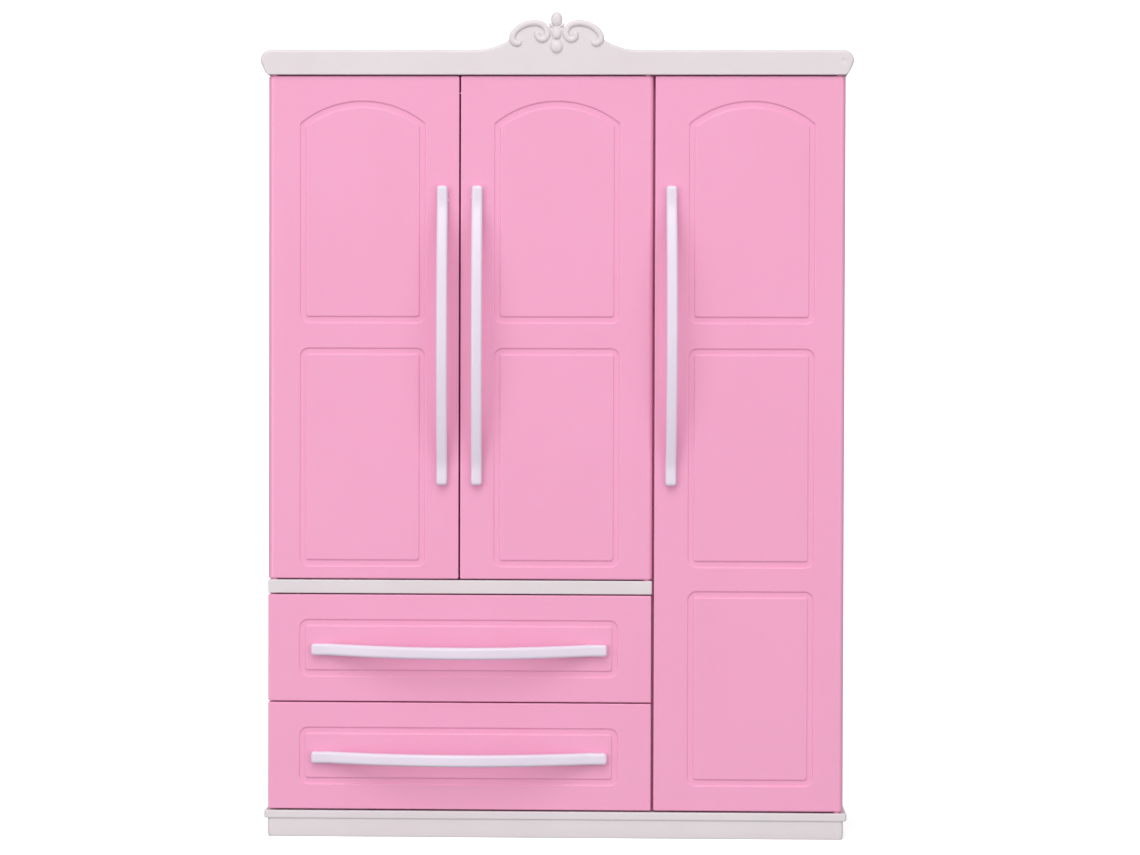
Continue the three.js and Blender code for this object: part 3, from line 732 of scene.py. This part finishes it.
def smooth_line(points, steps):
    """A Catmull-Rom curve through the points, with its direction at each place."""
    padded = [points[0], *points, points[-1]]
    line = []
    for i in range(1, len(padded) - 2):
        p = [Vector(q) for q in padded[i - 1 : i + 3]]
        for k in range(steps):
            t = k / steps
            value = 0.5 * (
                2 * p[1]
                + (p[2] - p[0]) * t
                + (2 * p[0] - 5 * p[1] + 4 * p[2] - p[3]) * t * t
                + (3 * p[1] - p[0] - 3 * p[2] + p[3]) * t**3
            )
            line.append(value)
    line.append(Vector(points[-1]))
    tangents = []
    for i in range(len(line)):
        step = line[min(i + 1, len(line) - 1)] - line[max(i - 1, 0)]
        tangents.append(step.normalized())
    return line, tangents


def scroll(shape, side, face):
    """One raised ribbon of the crest, fat in the middle and tapered into its hooks."""
    first_taper, last_taper = 0.07, 0.03  # lengths of its tapered ends, as shares of the whole
    least = 0.04  # square of its relative width at the very tips
    sunk = 0.15  # how far its middle plane lies behind the face
    sides = 16
    line, tangents = smooth_line(SCROLL, 5)
    loops = []
    for i, (point, tangent) in enumerate(zip(line, tangents)):
        share = i / (len(line) - 1)
        taper = math.sqrt(max(min(1.0, share / first_taper, (1 - share) / last_taper), least))
        half = (RIBBON_HALF[0] - (RIBBON_HALF[0] - RIBBON_HALF[1]) * share) * taper
        across = Vector((-tangent.y, tangent.x))
        ring = []
        for k in range(sides):
            a = 2 * math.pi * k / sides
            spot = point + across * (half * math.cos(a))
            ring.append((side * spot.x, face + sunk - taper * math.sin(a), spot.y))
        loops.append(shape.loop(ring))
    shape.loft(loops)
    shape.face(loops[0])
    shape.face(loops[-1])


def cornice_end(top, bottom, half):
    """The right end of the cornice seen from the front, from its lower corner to its top corner."""
    swell = top - CORNICE_ROUND
    slope = [(half, bottom), (half + 0.9, bottom + 0.75), (half + 1.7, bottom + 1.95)]
    lip = arc(half, swell, CORNICE_SWELL, -32, 0, 5)[:-1]
    return slope + lip + arc(half + CORNICE_SWELL - CORNICE_ROUND, swell, CORNICE_ROUND, 0, 90, 10)


def crest_edge(top):
    """The crest board's silhouette from the right foot of its slope to near the middle."""
    foot, run, rise, steps = 30, 13.2, 4.3, 10
    shares = [i / steps for i in range(steps)]
    edge = [(foot - run * share, top + rise * share * share) for share in shares]
    edge += [(16.6, top + 5.2), (15.6, top + 6.8), (13.6, top + 8.2), (11.0, top + 9.2)]
    edge += [(8.1, top + 9.7), (5.5, top + 9.1), (3.6, top + 8.4), (1.8, top + 8.8)]
    return edge


def inset_loop(points, amounts):
    """Each point of an outline moved inwards by its own amount, square to the outline."""
    moved = []
    for i, point in enumerate(points):
        here = Vector(point)
        one = (here - Vector(points[i - 1])).normalized()
        two = (Vector(points[(i + 1) % len(points)]) - here).normalized()
        if one.length < 0.5:
            one = two
        if two.length < 0.5:
            two = one
        inward = (Vector((-one.y, one.x)) + Vector((-two.y, two.x))).normalized()
        fit = max(inward.dot(Vector((-one.y, one.x))), 0.5)
        moved.append(tuple(here + inward * (amounts[i] / fit)))
    return moved


def make_cornice():
    back = span("cornice")[1][1]
    bottom, tip = span("cornice")[2]
    top = tip - CREST_HEIGHT
    half = (span("door_right")[0][1] - span("door_left")[0][0]) / 2
    front = span("door_left")[1][0] - CORNICE_PROUD
    right = cornice_end(top, bottom, half) + [(60.0, top), (34.0, top)] + crest_edge(top)
    left = [(-px, pz) for px, pz in reversed(right)]
    outline = right + [(0.0, top + 9.2)] + left
    flat = [(px, min(pz, top)) for px, pz in outline]
    steps = 5

    # The front edge is barely rounded at the bottom, and fully from 3 mm up.
    sharp, more, reach = 0.35, 0.85, 3
    softness = [sharp + more * min(1.0, (pz - bottom) / reach) for px, pz in outline]
    shape = Shape()
    loops = []
    for a in quarter_turn(steps):
        points = inset_loop(outline, [soft * (1 - math.sin(a)) for soft in softness])
        depths = [front + soft * (1 - math.cos(a)) for soft in softness]
        loops.append(shape.loop([(px, depth, pz) for depth, (px, pz) in zip(depths, points)]))

    # The crest board ends a little behind the front, and the cornice runs on to the wardrobe's back.
    rear = front + CREST_THICKNESS
    for inset, depth in soft_end(CREST_BACK_EDGE, steps)[:0:-1]:
        moved = inset_loop(outline, [inset] * len(outline))
        points = [new if old[1] > top + 0.05 else old for new, old in zip(moved, outline)]
        loops.append(shape.loop([(px, rear - depth, pz) for px, pz in points]))
    loops.append(shape.loop([(px, rear, pz) for px, pz in flat]))
    for inset, depth in reversed(soft_end(CORNICE_BACK_EDGE, steps)):
        shrink = 1 - inset / (half + 3)
        loops.append(shape.loop([(px * shrink, back - depth, pz) for px, pz in flat]))
    shape.loft(loops)

    dimple = lambda inset: circle(half - 0.9, (top + bottom) / 2 + 0.4, DIMPLE_RADIUS, inset)
    mark = shape.sink(dimple, on_front(front), [(0, 0), (0.25, 0.05), (0.7, 0.16), (1.1, 0.2)])
    shape.cap(loops[0], [mark])
    shape.cap(loops[-1])

    # The scrolls, the finial, the two beads under it and the small petals at its sides.
    scroll(shape, 1, front)
    scroll(shape, -1, front)
    shape.egg((0, front + 1.0, tip - 2.9), (2.15, 1.7, 2.9), power=0.85)
    shape.egg((0, front - 0.05, 301.8), (1.75, 1.1, 2.2), power=0.75)
    shape.egg((0, front - 0.05, 296.9), (2.25, 1.15, 2.45), power=0.8)
    for side in (-1, 1):
        petal = (side * 2.0, front + 0.4, 304.8)
        shape.egg(petal, (0.6, 0.8, 1.25), tilt=side * 48, rings=10, sides=14)
    shape.piece("cornice_moulding", IVORY, "carcass", "ivory_plastic", "cornice")


# ---------------------------------------------------------------- plinth and carcass


def make_plinth():
    back = span("plinth")[1][1]
    half = span("door_right")[0][1]
    front = span("door_left")[1][0]
    band_top = span("door_right")[2][0] + PIN_LENGTH - DOOR_GAP

    # (out, height) pairs: the rounded foot, a skirt that bulges slightly, and the band.
    profile = [(-0.6, 0.0), (-0.35, 0.08), (-0.12, 0.35), (0.0, 0.8), (0.12, 2.2), (0.15, 3.6)]
    profile += [(0.1, 5.2), (0.05, 6.4), (0.12, BAND_BOTTOM - 0.25), (0.35, BAND_BOTTOM)]
    for start, height in ((-90, BAND_BOTTOM + BAND_CORNER), (0, band_top - BAND_CORNER)):
        profile += arc(BAND_OUT - BAND_CORNER, height, BAND_CORNER, start, start + 90, 6)
    profile += [(0.2, band_top), (-0.4, band_top)]
    share = BAND_PROUD / BAND_OUT

    shape = Shape()
    loops = []
    for out, height in profile:
        sides = (-half - out, half + out)
        points = rectangle(sides, (front - out * share, back), [1.2, 1.2, 0.5, 0.5])
        loops.append(shape.loop([(px, py, height) for px, py in points]))
    shape.loft(loops)

    starts = [-half + PLINTH_WALL] + [rib[1] for rib in PLINTH_RIBS]
    ends = [rib[0] for rib in PLINTH_RIBS] + [half - PLINTH_WALL]
    inner_y = (front + PLINTH_WALL, back - PLINTH_WALL)
    rims = []
    for cell in zip(starts, ends):
        draw = lambda inset: rectangle(cell, inner_y, [1.0] * 4, inset)
        rims.append(shape.sink(draw, on_bottom(0.0), hollow(band_top - PLINTH_FLOOR, lip=0.25)))
    shape.cap(loops[0], rims)
    shape.face(loops[-1])
    runner_z = (band_top - LAP, span("drawer_tray_lower")[2][0] - RUNNER_GAP)
    for middle in RUNNERS:
        runner_x = (middle - RUNNER_HALF, middle + RUNNER_HALF)
        shape.slab(runner_x, RUNNER_REACH, runner_z, [0.4] * 4, 0.4)
    shape.piece("plinth_moulding", IVORY, "carcass", "ivory_plastic", "plinth")


def make_deck():
    x, y, z = span("middle_deck")
    left = span("side_panel_left")[0][1] - LEDGE + DECK_GAP
    right = span("divider")[0][0] + LEDGE - DECK_GAP
    shape = Shape()
    shape.slab(x, (y[0], y[0] + DECK_BAR), z, [0.5, 0.9, 0.4, 0.4], 0.45)
    shape.slab((left, right), (y[0] + DECK_BOARD_START, y[1]), (z[1] - DECK_BOARD, z[1]), [0.4] * 4, 0.4)
    shape.piece("middle_deck_board", IVORY, "carcass", "ivory_plastic", "middle_deck")


def make_wall(node, ledges):
    """An upright panel. ledges gives the undersides of the shelves on its -1 and 1 sides."""
    x, y, z = span(node)
    tab = WALL_TAB if node != "divider" else 0.0
    board_x = (x[0] + LEDGE if -1 in ledges else x[0], x[1] - LEDGE if 1 in ledges else x[1])
    shape = Shape()
    shape.slab(board_x, y, (WALL_FOOT, z[1] - tab), [0.5] * 4, 0.3)
    for side, undersides in ledges.items():
        edge = board_x[0] if side < 0 else board_x[1]
        limits = sorted((edge - side * LEDGE_ROOT, edge + side * LEDGE))
        for level in undersides:
            ledge_z = (level - LEDGE_DROP[0], level - LEDGE_DROP[1])
            shape.slab(limits, LEDGE_REACH, ledge_z, [0.3] * 4, 0.3)
    shape.piece(f"{node}_board", PINK, "carcass", "pink_plastic", node)


def make_board(node, material, slot, radii, soft):
    x, y, z = span(node)
    if node == "back_panel":
        z = (WALL_FOOT, z[1] - WALL_TAB)
    shape = Shape()
    shape.slab(x, y, z, radii, soft)
    shape.piece(f"{node}_board", material, "carcass", slot, node)


def make_rail():
    x, y, z = span("clothes_rail")
    centre = ((y[0] + y[1]) / 2, (z[0] + z[1]) / 2)
    shape = Shape()
    shape.rod((z[1] - z[0]) / 2, (x[0], *centre), (x[1], *centre), 0.5, 32)
    shape.piece("clothes_rail_rod", WHITE, "carcass", "white_plastic", "clothes_rail")


def make_socket(name, side):
    """The cup that holds an end of the clothes rail, turned from its peg to its rim and its bore."""
    node = f"rail_socket_{name}"
    x, y, z = span(node)
    radius = (z[1] - z[0]) / 2
    rim = x[1] - x[0]
    bore = SOCKET_BORE
    profile = [(1.2, 0.0), (1.5, 0.3), (1.5, 1.6), (radius - 0.3, 1.6), (radius, 1.9)]
    profile += [(radius - 0.35, rim - 0.4), (radius - 0.6, rim - 0.1), (radius - 0.9, rim)]
    profile += [(bore + 0.4, rim), (bore + 0.1, rim - 0.2), (bore, rim - 0.5)]
    profile += [(bore, 2.9), (bore - 0.3, 2.6), (0.2, 2.6)]
    centre = ((y[0] + y[1]) / 2, (z[0] + z[1]) / 2)
    shape = Shape()
    shape.turned(profile, (x[0] if side > 0 else x[1], *centre), (side, 0, 0), 32)
    shape.piece(f"{node}_cup", WHITE, "carcass", "white_plastic", node)


# ---------------------------------------------------------------- stage, light and camera


# Metres, watts and degrees from here on.
SWEEP_FRONT = -3.0
SWEEP_BACK = 1.2
SWEEP_RADIUS = 1.0
SWEEP_TOP = 4.0
SWEEP_HALF = 4.0

LIGHTS = {  # place, size and power
    "left": ((-1.2, -1.4, 0.15), 1.0, 9.3),
    "right": ((1.2, -1.4, 0.15), 1.0, 7),
    "top": ((-0.2, -1.2, 1.5), 1.0, 10),
    "back": ((0.0, 1.6, 1.6), 1.2, 9),
}

CAMERA_PLACE = (0.0364, -1.183, 0.1775)
CAMERA_ANGLES = (-1.545, -1.147, 0.163)  # yaw, pitch and roll
FOCAL_LENGTH = 96.88  # in millimetres, like the sensor's width
SENSOR_WIDTH = 36.0


def make_stage():
    """A pale floor that sweeps up into a backdrop."""
    run = [(SWEEP_FRONT, 0.0), (SWEEP_BACK, 0.0)]
    run += arc(SWEEP_BACK, SWEEP_RADIUS, SWEEP_RADIUS, 270, 360, 12)
    run += [(SWEEP_BACK + SWEEP_RADIUS, SWEEP_TOP)]
    mesh = bpy.data.meshes.new("sweep")
    bm = bmesh.new()
    rows = [[bm.verts.new((side * SWEEP_HALF, py, pz)) for side in (-1, 1)] for py, pz in run]
    for low, high in zip(rows, rows[1:]):
        bm.faces.new((low[0], low[1], high[1], high[0]))
    bm.to_mesh(mesh)
    bm.free()
    mesh.polygons.foreach_set("use_smooth", [True] * len(mesh.polygons))
    sweep = bpy.data.objects.new("sweep", mesh)
    bpy.context.scene.collection.objects.link(sweep)
    material = bpy.data.materials.new("pale_floor")
    n = Nodes(material)
    shader = n.add("ShaderNodeBsdfPrincipled")
    shader.inputs["Base Color"].default_value = (0.93, 0.93, 0.93, 1)
    shader.inputs["Roughness"].default_value = 0.9
    shader.inputs["Specular IOR Level"].default_value = 0.0
    shader.inputs["Emission Color"].default_value = (1, 1, 1, 1)
    shader.inputs["Emission Strength"].default_value = 0.45
    n.add("ShaderNodeOutputMaterial", Surface=shader.outputs[0])
    mesh.materials.append(material)
    sweep.visible_diffuse = False
    sweep.visible_glossy = False


def area_light(name, place, target, size, power):
    light = bpy.data.lights.new(name, "AREA")
    light.shape = "SQUARE"
    light.size = size
    light.energy = power
    lamp = bpy.data.objects.new(name, light)
    lamp.location = place
    lamp.visible_camera = False
    bpy.context.scene.collection.objects.link(lamp)
    direction = Vector(target) - Vector(place)
    lamp.rotation_euler = direction.to_track_quat("-Z", "Y").to_euler()


def make_light():
    """A white room, brighter above and in front of the object, and four soft lamps."""
    world = bpy.data.worlds.new("studio")
    n = Nodes(world)
    direction = n.add("ShaderNodeTexCoord").outputs["Generated"]
    parts = n.add("ShaderNodeSeparateXYZ", Vector=direction)
    height = n.spread(parts.outputs["Z"], -1.0, 1.0, 0.32, 0.74)
    ahead = n.spread(parts.outputs["Y"], -0.75, 0.3, 1.15, 0.5)
    level = n.combine("MULTIPLY", height, ahead)
    background = n.add("ShaderNodeBackground", Color=(1, 1, 1, 1), Strength=level)
    n.add("ShaderNodeOutputWorld", Surface=background.outputs[0])
    bpy.context.scene.world = world
    centre = (0, 0, (cad_box[0][2] + cad_box[1][2]) / 2)
    for name, (place, size, power) in LIGHTS.items():
        area_light(name, place, centre, size, power)


def make_camera():
    """A long lens, a little right of the middle and a little above it."""
    data = bpy.data.cameras.new("camera")
    data.lens = FOCAL_LENGTH
    data.sensor_width = SENSOR_WIDTH
    data.clip_end = 20.0
    camera = bpy.data.objects.new("camera", data)
    bpy.context.scene.collection.objects.link(camera)
    yaw, pitch, roll = (math.radians(angle) for angle in CAMERA_ANGLES)
    ahead = Vector((math.sin(yaw), math.cos(yaw), 0)) * math.cos(pitch)
    forward = ahead + Vector((0, 0, math.sin(pitch)))
    level = Vector((math.cos(yaw), -math.sin(yaw), 0))
    upright = level.cross(forward)
    right = level * math.cos(roll) + upright * math.sin(roll)
    up = upright * math.cos(roll) - level * math.sin(roll)
    turn = Matrix((right, up, -forward)).transposed().to_4x4()
    camera.matrix_world = Matrix.Translation(CAMERA_PLACE) @ turn
    bpy.context.scene.camera = camera
    bpy.context.scene.view_settings.view_transform = "Standard"


# ---------------------------------------------------------------- assembly

make_camera()
make_stage()
make_light()

make_door("left", True, [MIDDLE_PANEL, UPPER_PANEL])
make_door("middle", False, [MIDDLE_PANEL, UPPER_PANEL])
make_door("right", False, [LOWER_PANEL, MIDDLE_PANEL, UPPER_PANEL])
make_handle("handle_left", "left_door", True, DOOR_HANDLE_LEAN, nubs=[(50.7, 1)])
make_handle("handle_middle", "middle_door", True, DOOR_HANDLE_LEAN, nubs=[(52.0, -1)])
make_handle("handle_right", "right_door", True, DOOR_HANDLE_LEAN)
for level, droop in DRAWER_HANDLE_DROOP.items():
    make_drawer_front(level)
    make_tray(level)
    make_handle(f"drawer_handle_{level}", f"{level}_drawer", False, droop)

make_cornice()
make_plinth()
make_deck()
shelves = [f"shelf_{level}" for level in ("lower", "middle", "upper")]
bay_undersides = [span(shelf)[2][0] for shelf in shelves]
deck_undersides = [span("drawer_shelf")[2][0], span("middle_deck")[2][1] - DECK_BOARD]
make_wall("side_panel_left", {1: deck_undersides})
make_wall("side_panel_right", {-1: bay_undersides})
make_wall("divider", {-1: deck_undersides, 1: bay_undersides})
for node in ("back_panel", "drawer_shelf"):
    make_board(node, PINK, "pink_plastic", [0.3] * 4, 0.3)
for node in shelves:
    make_board(node, IVORY, "ivory_plastic", [0.8, 0.8, 0.3, 0.3], 0.7)
make_rail()
make_socket("left", 1)
make_socket("right", -1)
